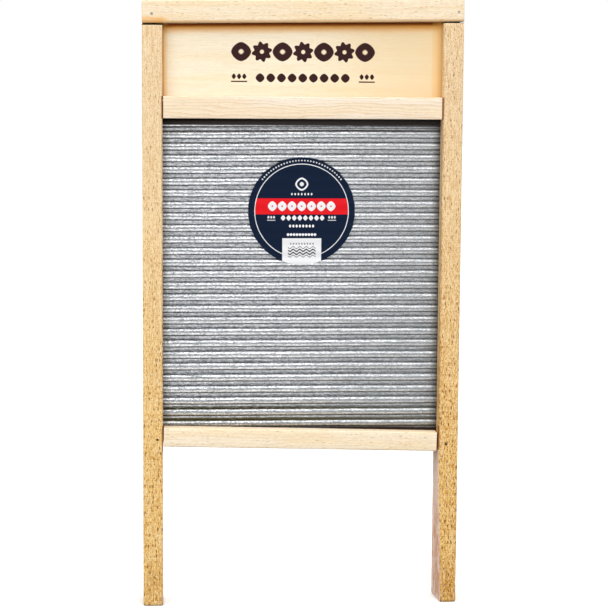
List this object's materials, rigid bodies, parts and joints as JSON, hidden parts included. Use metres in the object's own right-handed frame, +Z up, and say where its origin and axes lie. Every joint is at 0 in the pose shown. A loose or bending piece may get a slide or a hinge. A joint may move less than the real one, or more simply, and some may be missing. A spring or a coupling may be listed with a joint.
{
  "type": "washboard",
  "caption": "Wooden washboard with two long legs, a recessed header panel above a middle rail, a corrugated metal scrubbing sheet and a round label.",
  "frame": {"origin": "on the ground, midway between the two legs and midway through the board's depth", "axes": "+Z up along the legs, +X to the viewer's right, the front with the soap ledge and the label faces -Y"},
  "size_m": [0.3182, 0.038, 0.6099],
  "materials": {
    "leg_wood": "bare, open pored, sanded",
    "pine": "bare, planed",
    "panel_pine": "bare, planed, with a dark printed ornament",
    "galvanised": "hot-dip galvanised, mottled, half dull",
    "printed_paper": "satin printed paper",
    "nail_steel": "drawn wire, dulled and stained"
  },
  "bodies": {
    "root": {"left_leg": "leg_wood", "right_leg": "leg_wood", "top_rail": "pine", "header_panel": "panel_pine", "middle_rail": "pine", "lower_rail": "pine", "scrub_sheet": "galvanised", "round_label": "printed_paper", "top_rail_nail_left": "nail_steel", "top_rail_nail_right": "nail_steel", "middle_rail_nail_left": "nail_steel", "middle_rail_nail_right": "nail_steel", "lower_rail_nail_left": "nail_steel", "lower_rail_nail_right": "nail_steel"}
  },
  "joints": []
}
